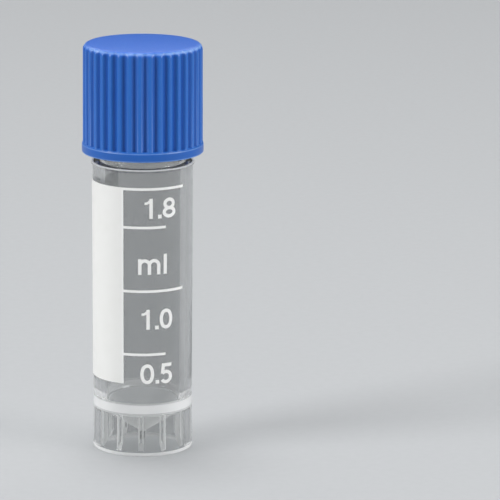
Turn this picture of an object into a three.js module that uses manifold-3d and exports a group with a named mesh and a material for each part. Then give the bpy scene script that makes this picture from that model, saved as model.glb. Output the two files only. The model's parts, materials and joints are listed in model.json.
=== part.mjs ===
// Screw-capped cryogenic vial, 1.8 ml, self-standing, with an externally threaded neck.
// Millimetres, +Z up. The origin is the centre of the ring that the vial stands on.
// The tube's axis is Z, and its front, with the graduations, looks along -Y.
//
// Three moulded pieces and one layer of print:
//   tube           clear body, conical floor, ribbed skirt, shoulder bead and threaded neck
//   seal_ring      flat silicone ring, clamped between the tube's rim and the cap's roof
//   cap            blue screw cap with grip ribs, an inner thread and a ring plug
//   printed_panel  white write-on panel with its four volume lines

import * as THREE from "three";
import { mergeVertices } from "three/addons/utils/BufferGeometryUtils.js";
import Module from "manifold-3d";

const wasm = await Module();
wasm.setup();

// ---- Driving dimensions ------------------------------------------------------------------

// Capacity, which sets how high the volume lines and the shoulder stand
const NOMINAL_VOLUME = 1800; // cubic millimetres up to the top line
const VOLUME_STEP = 500; // cubic millimetres between the lines below it
const HEADROOM = 2.3; // from the top line up to the shoulder

// Tube: bore and walls
const BORE_RADIUS = 4.56; // at the mouth
const BORE_DRAFT = 0.05; // how much narrower the bore is at the floor
const BODY_WALL = 1.44; // at the shoulder
const BODY_DRAFT = 0.07; // how much narrower the outside is at the floor
const NECK_WALL = 0.6; // between the bore and the root of the thread
const NECK_HEIGHT = 11.75; // shoulder to rim
const RIM_EDGE = 0.15; // chamfers of the rim
const BEAD_STEP = 0.15; // how far the shoulder bead stands out of the wall
const BEAD_HEIGHT = 0.32;
const BEAD_EDGE = 0.08;

// Tube: conical floor, measured up from the standing surface
const GATE_CLEARANCE = 1.05; // surface to the tip of the gate mark
const GATE_LENGTH = 0.75;
const GATE_RADIUS = 0.27;
const FLOOR_THICKNESS = 1.2; // measured upright
const CONE_RISE = 2.82; // inner tip up to where the cone meets the bore
const CONE_TIP_RADIUS = 0.5; // flat at the bottom of the inner cone

// Tube: skirt and its anti-rotation ribs
const SKIRT_FLARE = 0.05; // how much wider the foot is than the waist
const SKIRT_WALL = 0.98; // at the foot
const SKIRT_DRAFT = 0.1; // how much narrower the hollow is under the floor
const FOOT_EDGE = 0.22; // chamfers of the standing ring
const SKIRT_RIB_COUNT = 12;
const SKIRT_RIB_DEPTH = 0.5;
const SKIRT_RIB_WIDTH = 0.55;
const SKIRT_RIB_FOOT = 0.5; // surface to the rib's lower end at the wall
const SKIRT_RIB_BEVEL = 0.95; // upright length of the bevel at that end
const SKIRT_RIB_TURN = -2.3; // degrees from the front to the nearest rib

// Thread, right-handed, one ridge on the neck and one in the cap
const THREAD_LEAD = 3.0; // rise in one turn
const NECK_THREAD_TURNS = 1.75;
const CAP_THREAD_TURNS = 1.75;
const THREAD_DEPTH = 0.7;
const THREAD_ROOT_WIDTH = 1.15;
const THREAD_CREST_WIDTH = 0.5;
const THREAD_DROP = 1.0; // rim down to the top of the neck's ridge
const THREAD_LIFT = 1.0; // cap's mouth up to the bottom of its ridge
const THREAD_RUNOUT = 25; // degrees over which a ridge fades at each end
const THREAD_PLAY = 0.3; // between the loaded flanks, along the axis
const THREAD_CLEARANCE = 0.25; // between a crest and the wall that it faces

// Cap
const CAP_STANDOFF = 1.12; // shoulder to the cap's lower edge
const CAP_WALL = 0.84; // between the inner wall and the grip grooves
const CAP_ROOF = 1.3;
const CAP_TOP_EDGE = 0.7; // rounding at the top
const CAP_DRAFT = 0.05; // how much narrower the grip is under the rounding
const CAP_MOUTH_EDGE = 0.25; // inner lead-in chamfer
const BAND_HEIGHT = 1.15; // plain band below the ribs
const BAND_STEP = 0.03; // how far the band stands out of the ribs
const BAND_EDGE = 0.1;
const GRIP_COUNT = 36;
const GRIP_DEPTH = 0.26;
const GROOVE_FLOOR_WIDTH = 0.4;
const GROOVE_MOUTH_WIDTH = 0.72;
const GRIP_TURN = -3.3; // degrees from the front to the nearest rib
const PLUG_CLEARANCE = 0.3; // between the plug and the bore
const PLUG_WALL = 0.85;
const PLUG_REACH = 2.0; // how far the plug reaches below the rim
const PLUG_EDGE = 0.3; // lead-in chamfer of the plug

// Seal ring
const SEAL_THICKNESS = 1.0;
const SEAL_EDGE = 0.18;
const SEAL_SEAT_GAP = 0.05; // to the rim below and to the roof above
const SEAL_PLUG_GAP = 0.05;
const SEAL_WALL_GAP = 0.3; // to the cap's inner wall

// Print
const INK_THICKNESS = 0.06;
const INK_GAP = 0.02; // between the print and the wall
const PANEL_LIFT = 3.18; // floor edge up to the panel
const PANEL_RIGHT = -22.5; // degrees from the front, to the right
const PANEL_LEFT = -142;
const LINE_WIDTH = 0.3;
const LONG_LINE_END = 51.4; // degrees from the front
const SHORT_LINE_END = 26.8;

// Fineness of the round surfaces
const SEGMENTS = 72;
const THREAD_SEGMENTS = 36; // in one turn
const ROUND_STEPS = 4;
const ROOT_SINK = 0.2; // how deep a ridge or rib is rooted in its wall
const OVERCUT = 1.0; // how far a cutting solid passes the surface that it opens

// ---- Derived sizes -----------------------------------------------------------------------

const BORE_FLOOR_RADIUS = BORE_RADIUS - BORE_DRAFT;
const CONE_UNDER_TIP_Z = GATE_CLEARANCE + GATE_LENGTH;
const CONE_TIP_Z = CONE_UNDER_TIP_Z + FLOOR_THICKNESS;
const FLOOR_EDGE_Z = CONE_TIP_Z + CONE_RISE;
const CONE_SLOPE = CONE_RISE / BORE_FLOOR_RADIUS;

const MEAN_BORE_AREA = Math.PI * ((BORE_RADIUS + BORE_FLOOR_RADIUS) / 2) ** 2;
const CONE_VOLUME = (Math.PI * BORE_FLOOR_RADIUS ** 2 * CONE_RISE) / 3;
const levelOf = (volume) => FLOOR_EDGE_Z + (volume - CONE_VOLUME) / MEAN_BORE_AREA;

const TOP_LINE_Z = levelOf(NOMINAL_VOLUME);
const SHOULDER_Z = TOP_LINE_Z + HEADROOM;
const RIM_Z = SHOULDER_Z + NECK_HEIGHT;

const BODY_RADIUS = BORE_RADIUS + BODY_WALL;
const WAIST_RADIUS = BODY_RADIUS - BODY_DRAFT;
const FOOT_RADIUS = WAIST_RADIUS + SKIRT_FLARE;
const SKIRT_BORE_RADIUS = FOOT_RADIUS - SKIRT_WALL;
const SKIRT_TOP_RADIUS = SKIRT_BORE_RADIUS - SKIRT_DRAFT;
const NECK_RADIUS = BORE_RADIUS + NECK_WALL;

const CAP_BORE_RADIUS = NECK_RADIUS + THREAD_DEPTH + THREAD_CLEARANCE;
const GROOVE_RADIUS = CAP_BORE_RADIUS + CAP_WALL;
const GRIP_RADIUS = GROOVE_RADIUS + GRIP_DEPTH;
const CAP_MOUTH_Z = SHOULDER_Z + CAP_STANDOFF;
const SEAL_Z = RIM_Z + SEAL_SEAT_GAP;
const ROOF_Z = SEAL_Z + SEAL_THICKNESS + SEAL_SEAT_GAP;
const CAP_TOP_Z = ROOF_Z + CAP_ROOF;
const PLUG_RADIUS = BORE_RADIUS - PLUG_CLEARANCE;

// The neck's ridge ends at the top under the rim. The cap's ridge lies below it by the
// half widths of both at one radius and the play.
const FLANK_SLOPE = (THREAD_ROOT_WIDTH - THREAD_CREST_WIDTH) / 2 / THREAD_DEPTH;
const THREAD_MID_WIDTH = (THREAD_ROOT_WIDTH + THREAD_CREST_WIDTH) / 2;
const THREAD_OFFSET = THREAD_MID_WIDTH - FLANK_SLOPE * THREAD_CLEARANCE + THREAD_PLAY;
const NECK_THREAD_TOP_Z = RIM_Z - THREAD_DROP - THREAD_ROOT_WIDTH / 2;
const NECK_THREAD_Z = NECK_THREAD_TOP_Z - NECK_THREAD_TURNS * THREAD_LEAD;
const CAP_THREAD_Z = CAP_MOUTH_Z + THREAD_LIFT + THREAD_ROOT_WIDTH / 2;
const CAP_THREAD_RISE = CAP_THREAD_Z + THREAD_OFFSET - NECK_THREAD_Z;
const CAP_THREAD_START = (CAP_THREAD_RISE / THREAD_LEAD) * 360; // degrees past the neck's

// ---- Helpers -----------------------------------------------------------------------------

// Angles are degrees from the front (-Y), growing towards +X, anticlockwise from above.
const radians = THREE.MathUtils.degToRad;
const eastOf = (angle) => Math.sin(radians(angle));
const northOf = (angle) => -Math.cos(radians(angle));

// A closed three.js geometry as a solid that can be joined and cut.
function toSolid(geometry) {
  const bare = geometry.clone();
  bare.deleteAttribute("normal");
  bare.deleteAttribute("uv");
  const merged = mergeVertices(bare);
  const corners = merged.getIndex().array;
  const triangles = [];
  for (let i = 0; i < corners.length; i += 3) {
    const [a, b, c] = [corners[i], corners[i + 1], corners[i + 2]];
    if (a !== b && b !== c && c !== a) triangles.push(a, b, c);
  }
  const mesh = new wasm.Mesh({
    numProp: 3,
    vertProperties: Float32Array.from(merged.getAttribute("position").array),
    triVerts: Uint32Array.from(triangles),
  });
  return new wasm.Manifold(mesh);
}

// The finished solid as a geometry with flat facets.
function toGeometry(solid) {
  const mesh = solid.getMesh();
  const geometry = new THREE.BufferGeometry();
  const points = new THREE.BufferAttribute(Float32Array.from(mesh.vertProperties), 3);
  geometry.setAttribute("position", points);
  geometry.setIndex(new THREE.BufferAttribute(Uint32Array.from(mesh.triVerts), 1));
  const flat = geometry.toNonIndexed();
  flat.computeVertexNormals();
  return flat;
}

// A body of revolution about Z. The profile is a list of [radius, height] that runs up the
// outside, anticlockwise, and closes on the axis or on itself.
function turned(profile) {
  const points = profile.map(([radius, height]) => new THREE.Vector2(radius, height));
  return toSolid(new THREE.LatheGeometry(points, SEGMENTS).rotateX(Math.PI / 2));
}

// A ring of revolution, whose profile closes on its first point.
function turnedRing(profile) {
  return turned([...profile, profile[0]]);
}

// Points of a quarter round from one angle to another, in the profile's plane.
function roundCorner(radius, height, size, fromAngle, toAngle) {
  const points = [];
  for (let i = 0; i <= ROUND_STEPS; i++) {
    const angle = radians(fromAngle + ((toAngle - fromAngle) * i) / ROUND_STEPS);
    points.push([radius + size * Math.cos(angle), height + size * Math.sin(angle)]);
  }
  return points;
}

// Moves every corner of a geometry by a rule from [x, y, z] to [x, y, z].
function reshape(geometry, rule) {
  const points = geometry.getAttribute("position");
  for (let i = 0; i < points.count; i++) {
    points.setXYZ(i, ...rule(points.getX(i), points.getY(i), points.getZ(i)));
  }
  return geometry;
}

// A flat outline, drawn as [radius outwards, height], made into a radial blade of a width.
function blade(outline, width, angle) {
  const shape = new THREE.Shape(outline.map(([x, y]) => new THREE.Vector2(x, y)));
  const plate = new THREE.ExtrudeGeometry(shape, { depth: width, bevelEnabled: false });
  plate.translate(0, 0, -width / 2);
  plate.rotateX(Math.PI / 2);
  plate.rotateZ(radians(angle - 90));
  return toSolid(plate);
}

// ---- Thread ------------------------------------------------------------------------------

// A helical ridge. Its trapezoid section stands on the wall at rootRadius and points
// outwards (side 1) or inwards (side -1). The start is [angle, height] of its centre line.
function ridge(rootRadius, side, turns, startAngle, startHeight) {
  const half = THREAD_ROOT_WIDTH / 2;
  const tip = THREAD_CREST_WIDTH / 2;
  const section = new THREE.Shape([
    new THREE.Vector2(-half, -ROOT_SINK),
    new THREE.Vector2(half, -ROOT_SINK),
    new THREE.Vector2(half, 0),
    new THREE.Vector2(tip, THREAD_DEPTH),
    new THREE.Vector2(-tip, THREAD_DEPTH),
    new THREE.Vector2(-half, 0),
  ]);
  const sweep = turns * 360;
  const steps = Math.round(turns * THREAD_SEGMENTS);
  const bar = new THREE.ExtrudeGeometry(section, { depth: sweep, steps, bevelEnabled: false });
  const bent = reshape(bar, (x, y, z) => {
    const fade = Math.min(1, Math.min(z, sweep - z) / THREAD_RUNOUT);
    const sunk = -ROOT_SINK / 2;
    const depth = y < 0 ? y : sunk + (y - sunk) * fade;
    const radius = rootRadius + side * depth;
    const height = startHeight + side * x + (z / 360) * THREAD_LEAD;
    return [radius * eastOf(startAngle + z), radius * northOf(startAngle + z), height];
  });
  return toSolid(bent);
}

// ---- Tube --------------------------------------------------------------------------------

// Outer radius of the drafted wall between the floor edge and the shoulder.
function wallRadius(height) {
  const share = (height - FLOOR_EDGE_Z) / (SHOULDER_Z - FLOOR_EDGE_Z);
  return WAIST_RADIUS + BODY_DRAFT * share;
}

// Heights of the inner and the outer cone at a radius.
const coneInside = (radius) => CONE_TIP_Z + CONE_SLOPE * radius;
const coneOutside = (radius) => CONE_UNDER_TIP_Z + CONE_SLOPE * radius;

// The tube without ribs and thread, up the outside and down the bore to the axis.
function tubeShell() {
  const beadFoot = SHOULDER_Z - BEAD_HEIGHT;
  const beadRadius = BODY_RADIUS + BEAD_STEP;
  return turned([
    [0, GATE_CLEARANCE],
    [GATE_RADIUS, GATE_CLEARANCE],
    [GATE_RADIUS, coneOutside(GATE_RADIUS)],
    [SKIRT_TOP_RADIUS, coneOutside(SKIRT_TOP_RADIUS)],
    [SKIRT_BORE_RADIUS, FOOT_EDGE],
    [SKIRT_BORE_RADIUS + FOOT_EDGE, 0],
    [FOOT_RADIUS - FOOT_EDGE, 0],
    [FOOT_RADIUS, FOOT_EDGE],
    [WAIST_RADIUS, FLOOR_EDGE_Z],
    [wallRadius(beadFoot), beadFoot],
    [beadRadius, beadFoot + BEAD_EDGE],
    [beadRadius, SHOULDER_Z - BEAD_EDGE],
    [beadRadius - BEAD_EDGE, SHOULDER_Z],
    [NECK_RADIUS, SHOULDER_Z],
    [NECK_RADIUS, RIM_Z - RIM_EDGE],
    [NECK_RADIUS - RIM_EDGE, RIM_Z],
    [BORE_RADIUS + RIM_EDGE, RIM_Z],
    [BORE_RADIUS, RIM_Z - RIM_EDGE],
    [BORE_FLOOR_RADIUS, FLOOR_EDGE_Z],
    [CONE_TIP_RADIUS, coneInside(CONE_TIP_RADIUS)],
    [0, coneInside(CONE_TIP_RADIUS)],
  ]);
}

// One rib inside the skirt, from its bevelled foot up into the conical floor.
function skirtRib(angle) {
  const root = SKIRT_BORE_RADIUS + ROOT_SINK;
  const crest = SKIRT_BORE_RADIUS - SKIRT_RIB_DEPTH;
  const slant = SKIRT_RIB_BEVEL / SKIRT_RIB_DEPTH;
  const outline = [
    [crest, SKIRT_RIB_FOOT + SKIRT_RIB_BEVEL],
    [root, SKIRT_RIB_FOOT - ROOT_SINK * slant],
    [root, coneOutside(root)],
    [crest, coneOutside(root)],
  ];
  return blade(outline, SKIRT_RIB_WIDTH, angle);
}

function tube() {
  let solid = tubeShell();
  for (let i = 0; i < SKIRT_RIB_COUNT; i++) {
    solid = solid.add(skirtRib(SKIRT_RIB_TURN + (i * 360) / SKIRT_RIB_COUNT));
  }
  return solid.add(ridge(NECK_RADIUS, 1, NECK_THREAD_TURNS, 0, NECK_THREAD_Z));
}

// ---- Cap ---------------------------------------------------------------------------------

// One groove of the grip, a flared channel from the band up through the rounded edge.
function gripGroove(angle) {
  const bottom = CAP_MOUTH_Z + BAND_HEIGHT;
  const flare = (GROOVE_MOUTH_WIDTH - GROOVE_FLOOR_WIDTH) / 2 / GRIP_DEPTH;
  const floorHalf = GROOVE_FLOOR_WIDTH / 2;
  const outer = GRIP_RADIUS + OVERCUT;
  const outerHalf = floorHalf + flare * (GRIP_DEPTH + OVERCUT);
  const section = new THREE.Shape([
    new THREE.Vector2(GROOVE_RADIUS, -floorHalf),
    new THREE.Vector2(outer, -outerHalf),
    new THREE.Vector2(outer, outerHalf),
    new THREE.Vector2(GROOVE_RADIUS, floorHalf),
  ]);
  const depth = CAP_TOP_Z + OVERCUT - bottom;
  const channel = new THREE.ExtrudeGeometry(section, { depth, bevelEnabled: false });
  channel.translate(0, 0, bottom);
  channel.rotateZ(radians(angle - 90));
  return toSolid(channel);
}

// The cap's outer form without the ribs: plain band, drafted grip and rounded top edge.
function capEnvelope() {
  const band = GRIP_RADIUS + BAND_STEP;
  const bandTop = CAP_MOUTH_Z + BAND_HEIGHT;
  const upper = GRIP_RADIUS - CAP_DRAFT;
  const roundZ = CAP_TOP_Z - CAP_TOP_EDGE;
  return turned([
    [0, CAP_MOUTH_Z],
    [band - BAND_EDGE, CAP_MOUTH_Z],
    [band, CAP_MOUTH_Z + BAND_EDGE],
    [band, bandTop - BAND_STEP],
    [GRIP_RADIUS, bandTop],
    ...roundCorner(upper - CAP_TOP_EDGE, roundZ, CAP_TOP_EDGE, 0, 90),
    [0, CAP_TOP_Z],
  ]);
}

// The hollow of the cap, with the ring plug left standing in it.
function capHollow() {
  const mouth = CAP_BORE_RADIUS + CAP_MOUTH_EDGE;
  const bore = turned([
    [0, CAP_MOUTH_Z - OVERCUT],
    [mouth + OVERCUT, CAP_MOUTH_Z - OVERCUT],
    [CAP_BORE_RADIUS, CAP_MOUTH_Z + CAP_MOUTH_EDGE],
    [CAP_BORE_RADIUS, ROOF_Z],
    [0, ROOF_Z],
  ]);
  const plugFoot = RIM_Z - PLUG_REACH;
  const plug = turnedRing([
    [PLUG_RADIUS - PLUG_WALL, plugFoot],
    [PLUG_RADIUS - PLUG_EDGE, plugFoot],
    [PLUG_RADIUS, plugFoot + PLUG_EDGE],
    [PLUG_RADIUS, ROOF_Z + ROOT_SINK],
    [PLUG_RADIUS - PLUG_WALL, ROOF_Z + ROOT_SINK],
  ]);
  return bore.subtract(plug);
}

function cap() {
  let solid = capEnvelope().subtract(capHollow());
  for (let i = 0; i < GRIP_COUNT; i++) {
    solid = solid.subtract(gripGroove(GRIP_TURN + ((i + 0.5) * 360) / GRIP_COUNT));
  }
  const thread = ridge(CAP_BORE_RADIUS, -1, CAP_THREAD_TURNS, CAP_THREAD_START, CAP_THREAD_Z);
  return solid.add(thread);
}

// ---- Seal ring ---------------------------------------------------------------------------

function sealRing() {
  const inner = PLUG_RADIUS + SEAL_PLUG_GAP;
  const outer = CAP_BORE_RADIUS - SEAL_WALL_GAP;
  const top = SEAL_Z + SEAL_THICKNESS;
  return turnedRing([
    [inner + SEAL_EDGE, SEAL_Z],
    [outer - SEAL_EDGE, SEAL_Z],
    [outer, SEAL_Z + SEAL_EDGE],
    [outer, top - SEAL_EDGE],
    [outer - SEAL_EDGE, top],
    [inner + SEAL_EDGE, top],
    [inner, top - SEAL_EDGE],
    [inner, SEAL_Z + SEAL_EDGE],
  ]);
}

// ---- Print -------------------------------------------------------------------------------

// A field of ink on the drafted wall, between two angles and two heights.
function inkField(fromAngle, toAngle, bottom, top) {
  const step = 360 / SEGMENTS;
  const strips = Math.ceil((toAngle - fromAngle) / step);
  const box = new THREE.BoxGeometry(toAngle - fromAngle, top - bottom, INK_THICKNESS, strips);
  box.translate((fromAngle + toAngle) / 2, (bottom + top) / 2, INK_THICKNESS / 2);
  const bent = reshape(box, (x, y, z) => {
    const radius = wallRadius(y) + INK_GAP + z;
    return [radius * eastOf(x), radius * northOf(x), y];
  });
  return toSolid(bent);
}

// Heights of the volume lines, from the lowest up to the nominal volume.
function lineHeights() {
  const heights = [];
  for (let volume = VOLUME_STEP; volume < NOMINAL_VOLUME; volume += VOLUME_STEP) {
    heights.push(levelOf(volume));
  }
  return [...heights, TOP_LINE_Z];
}

// The panel and its lines, which run out of its right edge. Long and short lines alternate,
// with the nominal volume's line long.
function printedPanel() {
  const heights = lineHeights();
  const panelTop = TOP_LINE_Z + LINE_WIDTH / 2;
  const root = PANEL_RIGHT - 360 / SEGMENTS;
  let solid = inkField(PANEL_LEFT, PANEL_RIGHT, FLOOR_EDGE_Z + PANEL_LIFT, panelTop);
  heights.forEach((height, i) => {
    const end = i === heights.length - 1 || i % 2 === 1 ? LONG_LINE_END : SHORT_LINE_END;
    const line = inkField(root, end, height - LINE_WIDTH / 2, height + LINE_WIDTH / 2);
    solid = solid.add(line);
  });
  return solid;
}

// ---- Assembly ----------------------------------------------------------------------------

function piece(name, solid, color, roughness, opacity) {
  const material = new THREE.MeshStandardMaterial({ color, roughness, metalness: 0, opacity });
  material.transparent = opacity < 1;
  const mesh = new THREE.Mesh(toGeometry(solid), material);
  mesh.name = name;
  return mesh;
}

const tubeGroup = new THREE.Group();
tubeGroup.add(piece("tube", tube(), 0xdfe3e6, 0.2, 0.4));
tubeGroup.add(piece("printed_panel", printedPanel(), 0xf7f7f4, 0.6, 1));

const closure = new THREE.Group();
closure.add(piece("seal_ring", sealRing(), 0xe9ecef, 0.45, 0.85));
closure.add(piece("cap", cap(), 0x2f63c0, 0.35, 1));

const group = new THREE.Group();
group.add(tubeGroup, closure);

export default group;
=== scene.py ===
# %% [markdown]
# # Screw-capped cryogenic vial
#
# A 1.8 ml vial in which cells or serum are kept in liquid nitrogen. It has four parts: a clear
# moulded tube with a conical floor and a ribbed skirt that it stands on, a knurled blue screw
# cap, a flat silicone ring that the cap presses on the rim, and a layer of white screen print.
#
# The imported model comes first. It is the fixed frame, so every size below is read from it or
# follows the same drawing, and each finished piece rides on one of its bodies.

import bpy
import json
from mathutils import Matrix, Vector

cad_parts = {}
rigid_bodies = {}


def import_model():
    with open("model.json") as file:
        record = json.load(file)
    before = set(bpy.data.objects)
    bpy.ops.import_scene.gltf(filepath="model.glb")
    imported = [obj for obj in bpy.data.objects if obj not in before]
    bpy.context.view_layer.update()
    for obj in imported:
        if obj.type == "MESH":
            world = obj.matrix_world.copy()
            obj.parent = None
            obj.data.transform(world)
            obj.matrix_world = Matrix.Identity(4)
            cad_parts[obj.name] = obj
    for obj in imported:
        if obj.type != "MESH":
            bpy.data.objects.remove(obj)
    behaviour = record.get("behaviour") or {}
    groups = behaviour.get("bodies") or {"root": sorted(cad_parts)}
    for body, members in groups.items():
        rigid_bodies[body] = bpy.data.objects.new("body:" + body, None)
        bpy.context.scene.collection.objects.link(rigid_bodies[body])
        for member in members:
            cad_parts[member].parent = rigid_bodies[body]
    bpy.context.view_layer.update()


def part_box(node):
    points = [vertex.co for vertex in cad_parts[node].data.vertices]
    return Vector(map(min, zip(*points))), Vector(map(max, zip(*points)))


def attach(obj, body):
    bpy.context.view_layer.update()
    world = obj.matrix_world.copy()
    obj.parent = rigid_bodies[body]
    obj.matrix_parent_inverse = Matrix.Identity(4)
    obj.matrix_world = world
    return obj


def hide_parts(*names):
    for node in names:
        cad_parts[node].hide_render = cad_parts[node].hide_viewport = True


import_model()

# %% [markdown]
# ## Workbench
#
# Small things are awkward to model in metres, because Blender's tools treat points closer than
# a thousandth of a millimetre as one. So each piece is made in millimetres, and is scaled to
# metres only when it is finished. Angles round the vial are counted in degrees from its front,
# which faces -Y, towards +X.

# %% Units and directions
import json
from math import atan, atan2, ceil, cos, degrees, hypot, pi, radians, sin, tan

import bmesh
import bpy
from mathutils import Matrix, Vector

MM = 0.001
scene = bpy.context.scene


def node_heights(name):
    """Lowest and highest point of a CAD node, in millimetres."""
    low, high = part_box(name)
    return low.z / MM, high.z / MM


RIM_Z = node_heights("tube")[1]
MOUTH_Z, TOP_Z = node_heights("cap")
SEAL_Z, SEAL_TOP_Z = node_heights("seal_ring")
PRINT_Z, PRINT_TOP_Z = node_heights("printed_panel")
print(f"rim {RIM_Z:.2f}, cap {MOUTH_Z:.2f} to {TOP_Z:.2f}, seal from {SEAL_Z:.2f} mm")

# %% [markdown]
# ## Camera
#
# The vial is looked down on at 13 degrees from an arm's length, with a long lens that keeps its
# sides nearly parallel. It stands left of the middle of the picture, so the camera is aimed at a
# point beside it, at half its height. Turn and tilt follow from where the camera stands and that
# point. A turned and tilted camera makes an upright edge lean, and a slight roll about the line
# of sight takes that lean out again.

# %% Camera
CAMERA_BACK = 435.0
CAMERA_HEIGHT = 125.0
AIM_ASIDE = 12.85
AIM_HEIGHT = 24.05
SENSOR = 36.0
LENS = 268.3

turn = atan(AIM_ASIDE / CAMERA_BACK)
tilt = atan((CAMERA_HEIGHT - AIM_HEIGHT) / hypot(CAMERA_BACK, AIM_ASIDE))
roll = atan(tan(turn) * sin(tilt))
camera = bpy.data.objects.new("camera", bpy.data.cameras.new("camera"))
camera.data.sensor_width = SENSOR
camera.data.lens = LENS
camera.data.clip_start = 0.01
camera.matrix_world = (
    Matrix.Translation(Vector((0, -CAMERA_BACK, CAMERA_HEIGHT)) * MM)
    @ Matrix.Rotation(-turn, 4, "Z")
    @ Matrix.Rotation(pi / 2 - tilt, 4, "X")
    @ Matrix.Rotation(roll, 4, "Z")
)
scene.collection.objects.link(camera)
scene.camera = camera
print(f"tilt {degrees(tilt):.2f}, turn {degrees(turn):.2f}, roll {degrees(roll):.2f} degrees")

# %% [markdown]
# ## Colours and nodes
#
# Colours are written as the hex values that a designer would use, which are sRGB. Shaders work
# in linear light, so one function converts them. A second one adds a node with its settings and
# its links, so that each material below reads as a short recipe.


# %% Colour and node helpers
def colour(hex_value):
    """An sRGB colour such as "2F62C4" as linear red, green, blue and alpha."""
    levels = [int(hex_value[start : start + 2], 16) / 255 for start in (0, 2, 4)]
    linear = [v / 12.92 if v <= 0.04045 else ((v + 0.055) / 1.055) ** 2.4 for v in levels]
    return (*linear, 1.0)


def add_node(owner, kind, settings=None, inputs=None):
    """One shader node. An input is a value, or the output socket that feeds it."""
    tree = owner.node_tree
    made = tree.nodes.new("ShaderNode" + kind)
    for name, value in (settings or {}).items():
        setattr(made, name, value)
    for name, value in (inputs or {}).items():
        if isinstance(value, bpy.types.NodeSocket):
            tree.links.new(value, made.inputs[name])
        else:
            made.inputs[name].default_value = value
    return made


def new_material(name):
    """An empty node material with its output, ready for a recipe."""
    material = bpy.data.materials.new(name)
    material.use_nodes = True
    material.node_tree.nodes.clear()
    return material


def set_surface(owner, kind, shader):
    """Links a shader to the output of a material or a world."""
    add_node(owner, "Output" + kind, inputs={"Surface": shader})


print("middle grey 808080 in linear light:", round(colour("808080")[0], 3))

# %% [markdown]
# ## Floor and light
#
# The vial stands on pale grey matt card. Four soft lamps stand round it, as in a small light
# tent: one at each side, the left one a little stronger, one overhead that draws the edge of the
# cap, and a wide weak one behind that separates it from the card. They could be placed anywhere
# round the vial, but satin plastic seen at a low angle mirrors whatever stands opposite the eye,
# so the side lamps are set off the usual lines of view. Their powers add up to about 1 on the
# walls, where a colour looks as it is written.
#
# Clear plastic is seen only by what it reflects and bends, so the surroundings are darker at the
# level of the table than overhead: the tube's edges then show against the card.

# %% Floor
FLOOR_SIZE = 3.0
CARD_FLECK = MM / 0.9

floor_card = new_material("matt_grey_card")
grain = add_node(floor_card, "TexNoise", inputs={"Scale": 1 / CARD_FLECK, "Detail": 4.0})
tone = add_node(
    floor_card,
    "Mix",
    {"data_type": "RGBA"},
    {"Factor": grain.outputs["Fac"], "A": colour("B2B4B6"), "B": colour("B7B9BB")},
)
card_shader = add_node(
    floor_card,
    "BsdfPrincipled",
    inputs={"Base Color": tone.outputs["Result"], "Roughness": 0.9, "Specular IOR Level": 0.2},
)
set_surface(floor_card, "Material", card_shader.outputs["BSDF"])
card_coords = add_node(floor_card, "TexCoord")
floor_card.node_tree.links.new(card_coords.outputs["Object"], grain.inputs["Vector"])

bm = bmesh.new()
bmesh.ops.create_grid(bm, x_segments=1, y_segments=1, size=FLOOR_SIZE / 2)
floor_mesh = bpy.data.meshes.new("floor")
bm.to_mesh(floor_mesh)
bm.free()
floor_mesh.materials.append(floor_card)
floor = bpy.data.objects.new("floor", floor_mesh)
scene.collection.objects.link(floor)
print(f"floor: {FLOOR_SIZE} m of card with flecks of {CARD_FLECK / MM:.1f} mm")


# %% Lamps
LAMP_AIM = Vector((0, 0, 0.03))


def soft_lamp(name, place, width, height, power):
    """A soft lamp of a size and at a place in metres, facing the middle of the vial."""
    lamp = bpy.data.lights.new(name, "AREA")
    lamp.shape = "RECTANGLE"
    lamp.size = width
    lamp.size_y = height
    lamp.energy = power
    holder = bpy.data.objects.new(name, lamp)
    facing = LAMP_AIM - Vector(place)
    holder.rotation_euler = facing.to_track_quat("-Z", "Y").to_euler()
    holder.location = place
    scene.collection.objects.link(holder)


soft_lamp("left_lamp", (-0.63, -0.27, 0.35), 0.32, 0.32, 4.2)
soft_lamp("right_lamp", (0.62, -0.28, 0.32), 0.32, 0.32, 4.0)
soft_lamp("top_lamp", (-0.05, 0.10, 0.80), 0.25, 0.25, 2.2)
soft_lamp("back_lamp", (-0.10, 0.62, 0.46), 1.10, 0.20, 1.4)

# %% World
TABLE_LEVEL = colour("646668")
OVERHEAD = colour("F4F5F6")

world = bpy.data.worlds.new("studio")
world.use_nodes = True
world.node_tree.nodes.clear()
scene.world = world
world_coords = add_node(world, "TexCoord")
direction = add_node(world, "SeparateXYZ", inputs={"Vector": world_coords.outputs["Generated"]})
upward = add_node(
    world,
    "MapRange",
    {"interpolation_type": "SMOOTHSTEP"},
    {"Value": direction.outputs["Z"], "From Min": 0.0, "From Max": 0.9},
)
sky = add_node(
    world,
    "Mix",
    {"data_type": "RGBA"},
    {"Factor": upward.outputs["Result"], "A": TABLE_LEVEL, "B": OVERHEAD},
)
ambient = add_node(world, "Background", inputs={"Color": sky.outputs["Result"], "Strength": 0.4})
set_surface(world, "World", ambient.outputs["Background"])
scene.view_settings.view_transform = "Standard"
print("view transform:", scene.view_settings.view_transform)

# %% [markdown]
# ## How the round parts are made
#
# Moulded tubes and caps are bodies of revolution. Each could start as a cylinder that is cut and
# extruded, but their walls have a draft, steps and small radii that are easier to draw as half a
# section. So a section is drawn as a chain of edges, its corners are rounded with a vertex
# bevel, and the chain is spun once round the axis. The ends of the chain on the axis become
# poles, which are merged, and the faces are then turned outwards.


# %% Sections and turning
ROUND_STEPS = 5
SAME_POINT = 1e-4


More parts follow.
